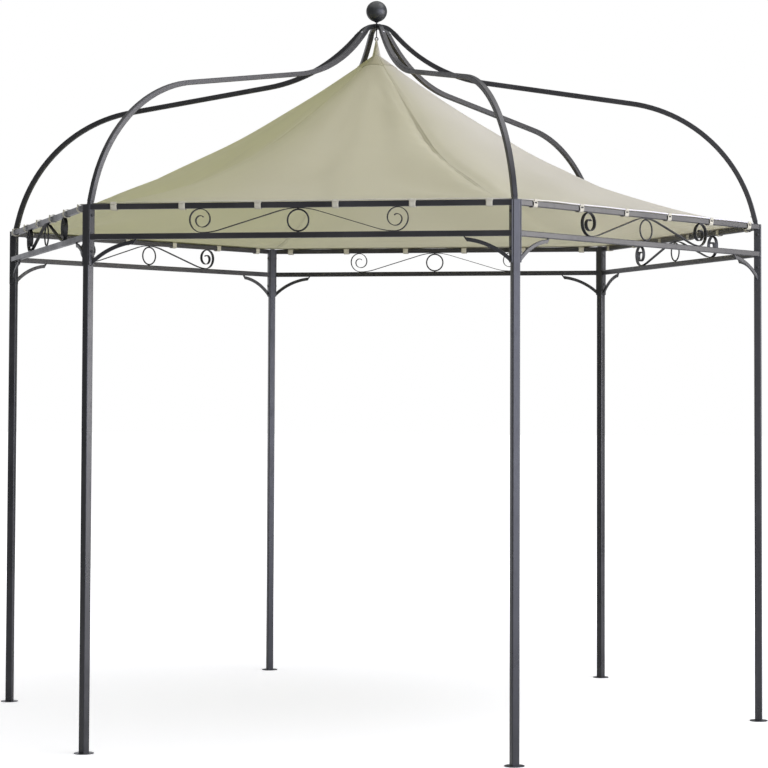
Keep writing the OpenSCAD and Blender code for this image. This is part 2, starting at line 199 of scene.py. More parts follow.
# ---- Rails ----
# Two square steel tubes in each bay, in the same powder coat, its base a little darker as painted shade
# under the canopy.
# Their ends are cut to meet the flat bars on the posts.

# painted shade: the rails' coat is a touch darker than the posts', for the shade under the canopy
RAIL_PAINT_SHADED = powder_coat("rail_powder_coat_shaded", (0.017, 0.016, 0.018, 1), (0.027, 0.026, 0.029, 1), 0.28)
for bay in BAYS:
    coat("upper_rail_" + bay, RAIL_PAINT_SHADED)
    coat("lower_rail_" + bay, RAIL_PAINT_SHADED)


# ---- Corner brackets ----
# A flat bar with a curved rectangular brace tube welded to it, on both sides of each post.
# Two button-head bolts go through each bar into the post.

BRACKET_PAINT = powder_coat("bracket_powder_coat", (0.018, 0.018, 0.021, 1),
                            (0.028, 0.028, 0.032, 1), 0.31)
for corner in CORNERS:
    coat("corner_bracket_" + corner, BRACKET_PAINT)

POST_CIRCLE = 1.75                  # from the middle to the middle of a post
BAR_FACE = 0.021                    # from the middle of a post to the outer face of its bars
BOLT_HEIGHTS = (2.1675, 2.0215)
BOLT_RADIUS, BOLT_HEAD, BOLT_SOCKET = 0.0062, 0.0042, 0.0026
BOLT_SUNK = 0.0002


def select_none():
    """Leaves edit mode, with nothing selected."""
    if bpy.context.object and bpy.context.object.mode == "EDIT":
        bpy.ops.object.mode_set(mode="OBJECT")
    bpy.ops.object.select_all(action="DESELECT")


def pick(piece):
    """Makes a piece the only one selected, and the active one."""
    select_none()
    piece.select_set(True)
    bpy.context.view_layer.objects.active = piece


def new_piece(name):
    """Names the primitive that was just added, and puts its place into its mesh."""
    piece = bpy.context.object
    piece.name = piece.data.name = name
    bpy.ops.object.transform_apply(location=True, rotation=True, scale=True)
    return piece


def copy_of(piece, name, matrix):
    """A copy with a mesh of its own, turned and moved by a matrix."""
    twin = bpy.data.objects.new(name, piece.data.copy())
    twin.data.transform(matrix)
    bpy.context.collection.objects.link(twin)
    return twin


def joined(parts, name):
    """Joins pieces into one object, with its origin at the frame's origin."""
    select_none()
    for part in parts:
        part.select_set(True)
    bpy.context.view_layer.objects.active = parts[0]
    bpy.ops.object.join()
    parts[0].name = parts[0].data.name = name
    return parts[0]


def painted(piece, material):
    """Gives a piece its material and its slot, and fixes it to the frame's one body."""
    piece.data.materials.clear()
    piece.data.materials.append(material)
    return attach(piece, "root")


def smooth(piece, degrees=35):
    """Shades a piece smooth, apart from its sharp edges."""
    pick(piece)
    bpy.ops.object.shade_smooth_by_angle(angle=math.radians(degrees))


DOME_SHARE, SOCKET_SHARE = 0.62, 0.5           # of a screw head's height


def button_head(name, radius, height, socket):
    """A domed screw head on the XY plane, with a round socket sunk into it."""
    select_none()
    bpy.ops.mesh.primitive_cylinder_add(vertices=24, radius=radius, depth=height,
                                        location=(0, 0, height / 2))
    head = new_piece(name)
    bpy.ops.object.mode_set(mode="EDIT")
    mesh = bmesh.from_edit_mesh(head.data)
    for face in mesh.faces:
        face.select = face.normal.z > 0.9
    bmesh.update_edit_mesh(head.data)
    bpy.ops.mesh.bevel(offset=height * DOME_SHARE, segments=4, affect="EDGES")
    mesh = bmesh.from_edit_mesh(head.data)
    top = max(v.co.z for v in mesh.verts)
    for face in mesh.faces:
        face.select = face.normal.z > 0.999 and all(abs(v.co.z - top) < 1e-6 for v in face.verts)
    bmesh.update_edit_mesh(head.data)
    bpy.ops.mesh.inset(thickness=max(radius - height * DOME_SHARE - socket, 0.0002))
    bpy.ops.mesh.extrude_region_move(TRANSFORM_OT_translate={"value": (0, 0, -height * SOCKET_SHARE)})
    bpy.ops.object.mode_set(mode="OBJECT")
    smooth(head)
    return head


def corner_turn(k):
    """Turns a thing at the right-hand corner to corner k, counted from the front right one."""
    return Matrix.Rotation(math.radians(60 * k - 60), 4, "Z")


bolt = button_head("bracket_bolt", BOLT_RADIUS, BOLT_HEAD, BOLT_SOCKET)
bolts = []
for k in range(6):
    for side in (-1, 1):
        for height in BOLT_HEIGHTS:
            place = (corner_turn(k)
                     @ Matrix.Translation((POST_CIRCLE, side * (BAR_FACE - BOLT_SUNK), height))
                     @ Matrix.Rotation(math.radians(-90 * side), 4, "X"))
            bolts.append(copy_of(bolt, "bolt", place))
bpy.data.objects.remove(bolt)
BOLT_PAINT = powder_coat("bolt_black_oxide", (0.012, 0.012, 0.013, 1),
                         (0.020, 0.020, 0.022, 1), 0.30, 0.0006)
painted(joined(bolts, "bracket_bolts"), BOLT_PAINT)


# ---- Scrollwork ----
# Flat strip bent into two mirrored scrolls, and a ring of round rod welded in the middle.
# It has the same kind of coat as the frame, blacker and less glossy.

SCROLL_PAINT = powder_coat("scroll_powder_coat", (0.008, 0.008, 0.009, 1),
                           (0.014, 0.014, 0.015, 1), 0.50, 0.0008)
for bay in BAYS:
    coat("scrollwork_" + bay, SCROLL_PAINT)


# ---- Arches ----
# Square steel tubes bent twice, which slide over spigots on the posts and on the crown.
# A self-tapping screw holds each end.

ARCH_PAINT = powder_coat("arch_powder_coat", (0.019, 0.018, 0.020, 1), (0.030, 0.029, 0.032, 1), 0.27)
for corner in CORNERS:
    coat("arch_" + corner, ARCH_PAINT)

# The low screw is on the arch's inner side and the high one on its outer side. For each: the
# distance from the middle, the height, which way it faces and its lean from level, in degrees
ARCH_SCREWS = ((1.7217, 2.2501, 180, 14), (0.1007, 3.1118, 0, 43.5))
SCREW_RADIUS, SCREW_HEAD, SCREW_SOCKET = 0.0042, 0.0030, 0.0017
screw = button_head("arch_screw", SCREW_RADIUS, SCREW_HEAD, SCREW_SOCKET)
screws = []
for k in range(6):
    for distance, height, facing, lean in ARCH_SCREWS:
        place = (corner_turn(k)
                 @ Matrix.Translation((distance, 0, height))
                 @ Matrix.Rotation(math.radians(facing), 4, "Z")
                 @ Matrix.Rotation(math.radians(90 - lean if facing == 0 else 90 + lean), 4, "Y"))
        screws.append(copy_of(screw, "screw", place))
bpy.data.objects.remove(screw)
zinc = Paint("bright_zinc")
grey = zinc.band(zinc.cloud(300.0, 2.0), 0.4, 0.6)
painted(joined(screws, "arch_screws"), zinc.finish(zinc.add("ShaderNodeBsdfPrincipled", {}, {
    "Base Color": zinc.blend(grey, (0.62, 0.62, 0.63, 1), (0.74, 0.74, 0.75, 1)),
    "Metallic": 0.55,
    "Roughness": 0.34})))


# ---- Crown ----
# Six bent arms on a boss carry a hollow ball on a stud, and a wire eye hangs under the boss.
# All of it is powder coated; the eye is rubbed bare in places.

CROWN_PAINT = powder_coat("crown_powder_coat", (0.017, 0.019, 0.020, 1),
                          (0.027, 0.029, 0.031, 1), 0.33, 0.0015)
coat("crown_hub", CROWN_PAINT)
coat("ball_finial", CROWN_PAINT)

wire = Paint("hook_wire")
rubbed = wire.band(wire.cloud(160.0, 3.0), 0.55, 0.7)
coat("canopy_hook", wire.finish(wire.add("ShaderNodeBsdfPrincipled", {}, {
    "Base Color": wire.blend(rubbed, (0.020, 0.020, 0.022, 1), (0.13, 0.13, 0.135, 1)),
    "Metallic": 0.8 * rubbed,
    "Roughness": 0.38})))


# ---- Canopy ----
# Six gores of coated polyester, sewn along the hips. The peak hangs from the hook, the hem lies
# on the rails, and the cloth between them sags along the hips and stands a little in the gores.

CANOPY_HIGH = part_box("canopy")[1]
HEM_REACH = CANOPY_HIGH.y           # from the middle to the hem, square to a bay
CORNER_REACH = CANOPY_HIGH.x        # from the middle to the cut-off corner
HEM_WIDTH = 0.026
HEM_TOP = 2.2188
SAG, FULLNESS = 1.7, 0.075
SLEEVE_TOP, SLEEVE_FOOT, SLEEVE_HEIGHT = 0.0055, 0.021, 0.060
CAP_RADIUS = 0.088
HEM_DOUBLING = 0.130
CLOTH_THICKNESS, DOUBLED_THICKNESS = 0.0008, 0.0010
STRAP_SPACING = 0.308
# How far the straps are sewn off their even places, on every second bay
SEWN_OFF = ((0.006, -0.016, -0.010, 0, 0.004, 0.004), (-0.003, -0.006, -0.002, 0, 0.010, 0.004))
STRAP_PLACES = [[(i - 2.5) * STRAP_SPACING + SEWN_OFF[bay % 2][i] for i in range(6)]
                for bay in range(6)]
HALF_GORE = math.pi / 6
HEM_SHARE = 1 - HEM_WIDTH / HEM_REACH
# How loosely each gore hangs, from the front one round to the front left one
GORE_SLACK = (1.15, 0.9, 1.0, 1.0, 1.2, 1.8)
# How far each gore's hem is drawn in from the outer face of its rail
HEM_DRAWN = (0, 0, 0, 0, 0.010, 0.0275)
# The solid canopy ends partway up the sleeve. Its top stands this far above the curve of the hips,
# which has risen by this share of its rise there
TOP_OVER_HIPS, RISE_SHARE = 0.0312, 0.9911
RISE = (CANOPY_HIGH.z - HEM_TOP - TOP_OVER_HIPS) / RISE_SHARE
# How high the hips' ridges, their pucker, the tension folds, the long folds and the drift stand
RIDGE, PUCKER, TENSION, LONG_FOLD, DRIFT = 0.0035, 0.0030, 0.0065, 0.011, 0.009
# How far the cloth stands up between two straps, and how far a strap pulls it down from there
STRAP_LIFT, STRAP_PULL = 0.0022, 0.0050
# How far single hips and gores leave the even shape: see the comment in cloth_point
TIGHT_LIFT, TIGHT_ROUND, FIRM_LIFT, LOOSE_SAG = 0.024, 0.128, 0.0135, 0.0150


def edge_at(gore, angle):
    """Distance from the middle to the canopy's edge, at an angle from a gore's middle."""
    return min((HEM_REACH - HEM_DRAWN[gore]) / math.cos(angle),
               CORNER_REACH / math.cos(HALF_GORE - abs(angle)))


def ramp(value, low, high):
    """A smooth step from 0 at low to 1 at high."""
    t = max(0.0, min(1.0, (value - low) / (high - low)))
    return t * t * (3 - 2 * t)


def bell(value, middle, width):
    """A bell curve, 1 at the middle."""
    return math.exp(-((value - middle) / width) ** 2)


def wander(seed, value):
    """A slow wander between -1 and 1 along a value, with its own seed."""
    return noise.noise(Vector((value, seed * 7.31, 3.7)))


# Places where the sewing has pinched the cloth: gore, side, distance down the hip and off it, length
# and width of the pinch, and its depth
PINCHES = ((0, 1, 0.42, 0.030, 0.110, 0.020, 0.0075), (0, 1, 0.36, 0.075, 0.080, 0.022, 0.0040),
           (1, -1, 0.52, 0.028, 0.120, 0.018, 0.0050), (1, 1, 0.34, 0.040, 0.050, 0.020, 0.0045),
           (1, 1, 0.43, 0.070, 0.045, 0.018, 0.0040), (0, 1, 1.28, 0.050, 0.060, 0.016, 0.0045),
           (5, 1, 0.62, 0.035, 0.160, 0.016, 0.0060), (0, -1, 0.30, 0.030, 0.090, 0.018, 0.0050),
           (3, -1, 0.70, 0.040, 0.150, 0.020, 0.0060), (4, 1, 0.95, 0.050, 0.130, 0.024, 0.0060))


def pinches(gore, side, along, off_hip):
    """How far the pinched places pull the cloth in, in metres."""
    return sum(depth * math.exp(-((along - down) / long) ** 2 - ((off_hip - off) / wide) ** 2)
               for place, part, down, off, long, wide, depth in PINCHES if (place, part) == (gore, side))


def folds(gore, angle, radius, edge):
    """How far the cloth stands off its smooth shape, in metres."""
    side = 1 if angle > 0 else -1
    off_hip = radius * math.sin(HALF_GORE - abs(angle))
    along = radius * math.cos(HALF_GORE - abs(angle))
    away = ramp(edge - radius, HEM_WIDTH, 0.14)
    slack = ramp(radius, 0.15, 0.65) * GORE_SLACK[gore]
    # the sewn hip stands up as a narrow ridge, and its thread puckers the cloth beside it
    ridge = RIDGE * bell(off_hip, 0, 0.009)
    pucker = (PUCKER * math.exp(-off_hip / 0.040) * min(1.0, off_hip / 0.012)
              * math.sin(2 * math.pi * (along + 0.8 * off_hip) / 0.105 + 2 * gore)
              * (0.5 + wander(gore + 11, along * 3.1)))
    # tension folds that spread from the tied corners
    rest = max(CORNER_REACH - along, 0.0)
    ray = math.atan2(off_hip, rest + 0.05)
    span = math.hypot(off_hip, rest)
    pulled = (TENSION * (span / 0.4) * math.exp(1 - span / 0.4) * min(1.0, off_hip / 0.05)
              * math.sin(10.5 * ray + 1.7 * gore + side + 1.5 * wander(gore * 3 + side + 31, ray * 1.5)))
    # long soft folds down the gore, and a slow drift
    long_fold = LONG_FOLD * noise.noise(Vector((angle * 5.5 + gore * 5.1, radius * 0.8, gore * 2.3)))
    drift = DRIFT * noise.noise(Vector((along * 2.3, side * off_hip * 2.9, gore * 4.7)))
    # small folds that run in from the straps
    place = radius * math.sin(angle)
    hem_off = (edge - radius) * math.cos(angle)
    nearest = min(STRAP_PLACES[gore], key=lambda s: abs(s - place))
    strap = (STRAP_LIFT - STRAP_PULL * bell(place, nearest, 0.045)) * math.exp(-hem_off / 0.075)
    return away * (slack * (pucker + pulled + long_fold + drift) + ramp(radius, 0.4, 0.9) * ridge
                   + strap - pinches(gore, side, along, off_hip))


def cloth_point(gore, angle, share, lift=0.0):
    """A point of the canopy: share of the way from the middle to the edge, at an angle in a gore."""
    edge = edge_at(gore, angle)
    radius = share * edge
    part = min(1.0, share / HEM_SHARE)
    across = abs(math.tan(angle)) / math.tan(HALF_GORE)
    sleeve = max(0.0, (SLEEVE_FOOT - radius) / (SLEEVE_FOOT - SLEEVE_TOP))
    # the front right hip is pulled tighter than the rest, and is round near the peak, the right
    # one sags halfway down, and the front left gore is full beside the front
    tight = across if (gore == 0 and angle > 0) or (gore == 1 and angle < 0) else 0
    firm = ramp(angle, -0.25, 0.10) * (1 - across ** 4) if gore == 5 else 0
    loose = across if (gore == 1 and angle > 0) or (gore == 2 and angle < 0) else 0
    height = (HEM_TOP + RISE * (1 - part) ** SAG
              + FULLNESS * 4 * part * (1 - part) * (1 - across ** 2)
              + SLEEVE_HEIGHT * sleeve ** 1.15
              + TIGHT_LIFT * tight ** 3 * bell(part, 0.70, 0.16) * ramp(1 - part, 0, 0.1)
              + TIGHT_ROUND * tight ** 2 * part * (1 - part) * (1 - ramp(part, 0.20, 0.50))
              + FIRM_LIFT * firm * bell(part, 0.87, 0.09) * ramp(1 - part, 0, 0.05)
              - LOOSE_SAG * loose ** 3 * bell(part, 0.43, 0.07)
              - 0.1 * HEM_DRAWN[gore] * ramp(share, 0.85, HEM_SHARE) * (1 - across ** 8)
              + folds(gore, angle, radius, edge) + lift)
    heading = math.radians(270 + 60 * gore) + angle
    return Vector((radius * math.cos(heading), radius * math.sin(heading), height))


def seam_place(gore, angle, share):
    """Across and along the nearest hip, in metres, for the shader's seams and stitches."""
    radius = share * edge_at(gore, angle)
    return (math.copysign(radius * math.sin(HALF_GORE - abs(angle)), angle),
            radius * math.cos(HALF_GORE - abs(angle)))


def gore_angles(columns, crowding):
    """Angles across a gore from one hip to just before the next, closer together at the hips."""
    steps = [2 * i / columns - 1 for i in range(columns)]
    return [math.copysign(HALF_GORE * (1 - (1 - abs(s)) ** crowding), s) for s in steps]


def cloth_rings(name, shares, columns, crowding, lift=0.0, tip=None):
    """A sheet of rings round the canopy, closed by a point at the tip where one is given."""
    angles = gore_angles(columns, crowding)
    around = 6 * columns
    points = [cloth_point(gore, angle, share, lift)
              for share in shares for gore in range(6) for angle in angles]
    places = [seam_place(gore, angle, share)
              for share in shares for gore in range(6) for angle in angles]
    faces = [(r * around + k, (r + 1) * around + k, (r + 1) * around + (k + 1) % around,
              r * around + (k + 1) % around)
             for r in range(len(shares) - 1) for k in range(around)]
    if tip:
        faces += [(len(points), k, (k + 1) % around) for k in range(around)]
        points.append(Vector((0, 0, tip)))
        places.append((0, 0))
    return sheet_mesh(name, points, faces, places)


def sheet_mesh(name, points, faces, places=None):
    """A smooth sheet from points and faces, with its places across and along a hip as a UV map."""
    mesh = bpy.data.meshes.new(name)
    mesh.from_pydata(points, [], faces)
    if places:
        layer = mesh.uv_layers.new(name="cloth")
        for face in mesh.polygons:
            sides = [places[corner][0] for corner in face.vertices]
            # halfway between two hips a face keeps to one side
            halfway = min(sides) < 0 < max(sides) and min(abs(s) for s in sides) > 1e-7
            for loop, corner in zip(face.loop_indices, face.vertices):
                across, along = places[corner]
                layer.data[loop].uv = (abs(across) if halfway else across, along)
    piece = bpy.data.objects.new(name, mesh)
    bpy.context.collection.objects.link(piece)
    pick(piece)
    bpy.ops.object.mode_set(mode="EDIT")
    bpy.ops.mesh.select_all(action="SELECT")
    bpy.ops.mesh.normals_make_consistent(inside=False)
    bpy.ops.object.mode_set(mode="OBJECT")
    bpy.ops.object.shade_smooth()
    return piece


def thicken(piece, thickness, outwards=0):
    """Gives a sheet its thickness, grown inwards (-1), outwards (1) or both ways (0)."""
    wall = piece.modifiers.new("wall", "SOLIDIFY")
    wall.thickness, wall.offset = thickness, outwards
    bpy.context.view_layer.objects.active = piece
    bpy.ops.object.modifier_apply(modifier=wall.name)


# Painted light and shade: the cloth is tinted darker on the shaded side and lighter on the lit one, and
# its glow the other way round
LEFT_SHADE_TINT, RIGHT_LIGHT_TINT = (0.69, 0.72, 0.44, 1), (1.29, 1.31, 1.70, 1)
LIT_SIDE_PAINTED_GLOW = (0.80, 0.775, 0.60, 1)
SHADED_SIDE_PAINTED_GLOW = 1.07                  # times the glow of the middle
# painted shade in the folds beside the shaded hips
FOLD_SHADE = (0.36, 0.35, 0.19, 1)
# painted shade for the seam and its groove, and a painted highlight for the crease beside it
SEAM_SHADE, GROOVE_SHADE, CREASE_HIGHLIGHT = (0.48, 0.44, 0.31, 1), (0.22, 0.20, 0.13, 1), (0.86, 0.84, 0.72, 1)
THREAD = (0.74, 0.72, 0.60, 1)
# painted shade at the edges of the overlapping layers
OVERLAP_EDGE_SHADE = (0.30, 0.28, 0.19, 1)
STITCHES_A_METRE, STITCH_ROW = 320.0, 0.0055
# The direction square to a slanted bay
SLANT_X, SLANT_Y = 0.866, 0.5


def polyester(name, shade, bright, glow, see_through, seams=True):
    """Coated woven polyester: fine weave, faint blotches, sewn seams, painted shade on the left side and
    painted light on the right.
    """
    under = tuple(min(1, SHADED_SIDE_PAINTED_GLOW * part) for part in glow[:3]) + (1,)
    paint = Paint(name)
    x, y = paint.split(paint.place())
    flat = paint.add("ShaderNodeMapping", {}, {"Vector": paint.place(), "Scale": (1, 1, 0)})
    heading = paint.add("ShaderNodeVectorMath", {"operation": "NORMALIZE"}, {0: flat})
    sunward = paint.split(heading)[0]
    # painted light: the tint darkens the side facing away from the lights and lightens the side facing
    # them
    shaded = paint.band(0 - sunward, 0.05, 0.75)
    lit_side = paint.band(sunward, 0.38, 0.98)
    tint = paint.blend(lit_side, paint.blend(shaded, (1, 1, 1, 1), LEFT_SHADE_TINT), RIGHT_LIGHT_TINT)
    blotch = paint.band(paint.cloud(2.2, 4.0), 0.3, 0.75)
    colour = paint.blend(1.0, paint.blend(blotch, shade, bright), tint, "MULTIPLY")
    relief = None
    if seams:
        across, along = paint.split(paint.uv())
        off_hip = abs(across)
        middle = paint.add("ShaderNodeVectorMath", {"operation": "LENGTH"}, {0: paint.uv()}, "Value")
        slanted = abs(SLANT_X * x + SLANT_Y * y).larger(abs(SLANT_X * x - SLANT_Y * y))
        inwards = HEM_REACH - abs(y).larger(slanted)
        # painted shade: darker streaks where the cloth hangs in folds beside the shaded hips
        fold_shade = paint.band(paint.cloud(1.0, 3.0, (26, 1.7, 1), paint.uv()), 0.48, 0.66)
        beside = (1 - paint.band(off_hip, 0.05, 0.40)) * shaded
        colour = paint.blend(0.5 * fold_shade * beside, colour, FOLD_SHADE)
        # the hip seam: two rows of stitches beside a groove, which tells more towards the hem. The
        # seam's band and its groove are darkened with painted shade, and a crease beside it is lightened
        # with a painted highlight
        lower = paint.band(along, 0.42, 0.80)
        seam = (1 - paint.band(off_hip, 0.0070, 0.0090)) * (0.2 + 0.8 * lower)
        groove = (1 - paint.band(off_hip, 0.0008, 0.0028)) * lower
        crease_highlight = paint.band(paint.cloud(3.0, 2.0), 0.42, 0.62) * (
            1 - paint.band(abs(across - 0.010), 0.002, 0.006))
        row = 1 - paint.band(abs(off_hip - STITCH_ROW), 0.0002, 0.0009)
        stitch = row * (along * STITCHES_A_METRE).fraction().above(0.35)
        colour = paint.blend(seam * 0.14, colour, SEAM_SHADE)
        colour = paint.blend(groove * 0.34, colour, GROOVE_SHADE)
        colour = paint.blend(crease_highlight * 0.30, colour, CREASE_HIGHLIGHT)
        colour = paint.blend(stitch * 0.5, colour, THREAD)
        # the rim of the cap, and the inner edge of the doubled cloth along the hem, darkened as painted
        # shade under the edges of the layers
        rim = 1 - paint.band(abs(middle - CAP_RADIUS), 0.0012, 0.0040)
        doubled = 1 - paint.band(inwards, HEM_DOUBLING - 0.0015, HEM_DOUBLING + 0.0015)
        edge = 1 - paint.band(abs(inwards - HEM_DOUBLING), 0.0010, 0.0045)
        colour = paint.blend(0.30 * rim + 0.16 * edge, colour, OVERLAP_EDGE_SHADE)
        relief = paint.bump(seam - groove + 0.35 * stitch + 0.5 * doubled - 0.4 * edge, 0.0012)
    thread = paint.cloud(1400.0, 2.0)
    weave = paint.bump(thread + 0.6 * paint.cloud(38.0, 4.0), 0.00035, 0.6, relief)
    front = paint.add("ShaderNodeBsdfPrincipled", {}, {
        "Base Color": colour, "Roughness": 0.78 + 0.1 * blotch, "Specular IOR Level": 0.25,
        "Sheen Weight": 0.15, "Sheen Roughness": 0.5, "Normal": weave})
    # the glow carries painted light too: a little brighter on the shaded side, darker on the lit one
    below = paint.blend(lit_side, paint.blend(shaded, glow, under), LIT_SIDE_PAINTED_GLOW)
    lit = paint.add("ShaderNodeBsdfTranslucent", {}, {"Color": below, "Normal": weave})
    return paint.finish(paint.add("ShaderNodeMixShader", {}, {0: see_through, 1: front, 2: lit}))


RINGS, COLUMNS, CROWDING = 118, 48, 1.45
TIP = HEM_TOP + RISE + SLEEVE_HEIGHT + 0.003
SLEEVE_SHARE, HEM_MIDDLE = SLEEVE_TOP / HEM_REACH, (1 + HEM_SHARE) / 2
shares = [SLEEVE_SHARE + (HEM_SHARE - SLEEVE_SHARE) * (i / RINGS) ** 1.5 for i in range(RINGS + 1)]
canopy = cloth_rings("canopy_cloth", shares + [HEM_MIDDLE, 1.0], COLUMNS, CROWDING, tip=TIP)
thicken(canopy, CLOTH_THICKNESS, -1)
CLOTH = polyester("canopy_polyester", (0.60, 0.57, 0.425, 1), (0.65, 0.62, 0.475, 1),
                  (0.92, 0.905, 0.77, 1), 0.58)
painted(canopy, CLOTH)
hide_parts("canopy")


# ---- Canopy cap and hem ----
# A second layer of the same cloth is sewn over the peak, the hem is a folded band that lies on the
# rails, and a piped welt runs round its edge.

CAP_RINGS, CAP_LIFT, HEM_LIFT = 24, 0.0024, 0.0013
cap_shares = [(SLEEVE_FOOT + (CAP_RADIUS - SLEEVE_FOOT) * i / CAP_RINGS) / HEM_REACH
              for i in range(CAP_RINGS + 1)]
cap = cloth_rings("canopy_cap", cap_shares, COLUMNS, CROWDING, lift=CAP_LIFT)
thicken(cap, DOUBLED_THICKNESS, 0)
painted(cap, CLOTH)

HEM_CLOTH = polyester("hem_polyester", (0.66, 0.63, 0.48, 1), (0.70, 0.67, 0.52, 1),
                      (0.88, 0.86, 0.72, 1), 0.35, seams=False)
hem_shares = [HEM_SHARE - 0.004, HEM_SHARE, HEM_MIDDLE, 1.0]
hem_band = cloth_rings("canopy_hem", hem_shares, COLUMNS, 1.0, lift=HEM_LIFT)
thicken(hem_band, DOUBLED_THICKNESS, 0)
painted(hem_band, HEM_CLOTH)


WELT_RADIUS, WELT_SIDES, WELT_COLUMNS = 0.0027, 8, 84
UP = Vector((0, 0, 1))


def welt_point(gore, angle):
    """The middle of the piping, which rises a little between the straps."""
    place = HEM_REACH * math.tan(angle)
    nearest = min(abs(place - s) for s in STRAP_PLACES[gore])
    slack = ramp(nearest, 0.02, 0.13) * (0.6 + 0.5 * wander(gore + 51, place * 4))
    point = cloth_point(gore, angle, 1.0)
    outward = Vector((point.x, point.y, 0)).normalized()
    return point + outward * 0.0005 + Vector((0, 0, 0.0022 * slack - 0.0016)), outward


welt_columns = gore_angles(WELT_COLUMNS, 1.0)
welt_points, welt_faces = [], []
for gore in range(6):
    for angle in welt_columns:
        middle, outward = welt_point(gore, angle)
        for side in range(WELT_SIDES):
            turn = 2 * math.pi * side / WELT_SIDES
            welt_points.append(middle + WELT_RADIUS * (math.cos(turn) * outward
                                                       + math.sin(turn) * UP))
count = 6 * len(welt_columns)
for k in range(count):
    for side in range(WELT_SIDES):
        welt_faces.append((k * WELT_SIDES + side, k * WELT_SIDES + (side + 1) % WELT_SIDES,
                           (k + 1) % count * WELT_SIDES + (side + 1) % WELT_SIDES,
                           (k + 1) % count * WELT_SIDES + side))
PIPING = polyester("piping_polyester", (0.70, 0.67, 0.54, 1), (0.77, 0.74, 0.61, 1),
                   (0.90, 0.88, 0.76, 1), 0.20, seams=False)
painted(sheet_mesh("canopy_piping", welt_points, welt_faces), PIPING)


# ---- Straps ----
# Loops of cream polypropylene webbing, sewn to the hem, which hang loosely round the upper rails.
# A tab of each is folded up over the piping. On two bays the fold stands open, and a near-black box in
# it is its painted shadow.

RAIL_HALF = 0.0115
HEM_ABOVE_RAIL = 0.0048             # the straps go through between them
RAIL_MIDDLE = HEM_TOP - HEM_ABOVE_RAIL - RAIL_HALF
RAIL_DISTANCE = HEM_REACH - RAIL_HALF - 0.001
STRAP_WIDTH, STRAP_THICKNESS, STRAP_POINTS = 0.026, 0.0016, 36
# How square a strap's path is, how far its drop and its rise reach, and how tall its bulge is
SQUARE, DROP_REACH, RISE_REACH, BULGE_TALL = 7, 0.016, 0.0125, 0.034
MOST_DRAWN = max(HEM_DRAWN)
RIBS = 2600.0
OPEN_FOLDS = (1, 4)
SLOT_SIZE, SLOT_HEIGHT, SLOT_DEPTH = (0.0150, 0.0016, 0.0052), 0.0034, 0.0019
TAB_SIZE, TAB_HEIGHT, TAB_DEPTH = (0.0235, 0.0013, 0.0085), 0.0138, 0.0055
LOOP_WIDTH, LOOP_THICKNESS, LOOP_POINTS = 0.009, 0.0013, 28


def loop_band(name, path, width, thickness, across=6, flare=0.0):
    """A closed band: the path is in the YZ plane, and the band's width lies along X."""
    points, faces = [], []
    count = len(path)
    for i, (y, z) in enumerate(path):
        for j in range(across + 1):
            x = width * (j / across - 0.5) * (1 + flare * ramp(z, 0.15 * width, 0.5 * width))
            points.append((x, y, z))
    for i in range(count):
        for j in range(across):
            a, b = i * (across + 1) + j, (i + 1) % count * (across + 1) + j
            faces.append((a, a + 1, b + 1, b))
    band = sheet_mesh(name, points, faces)
    thicken(band, thickness, 1)
    return band


def strap_path(bulge, drop, rise):
    """Round the rail from its top: up to the hem, bulging on the outer side, hanging loose below."""
    path = []
    for i in range(STRAP_POINTS):
        turn = 2 * math.pi * i / STRAP_POINTS
        y, z = math.sin(turn), math.cos(turn)
        size = (abs(y) ** SQUARE + abs(z) ** SQUARE) ** (-1 / SQUARE) * (RAIL_HALF + 0.0003)
        y, z = y * size, z * size
        if z < 0:
            z -= drop * (1 - abs(y) / DROP_REACH) + 0.0004
        else:
            z += rise * (1 - (y / RISE_REACH) ** 4)
        if y < 0:
            y -= bulge * math.cos(math.pi * z / BULGE_TALL) ** 2
        path.append((y, z))
    return path


webbing = Paint("strap_webbing")
rib = (webbing.add("ShaderNodeSeparateXYZ", {}, {"Vector": webbing.place()}, "Z") * RIBS).sine()
fade = webbing.cloud(40.0, 3.0)
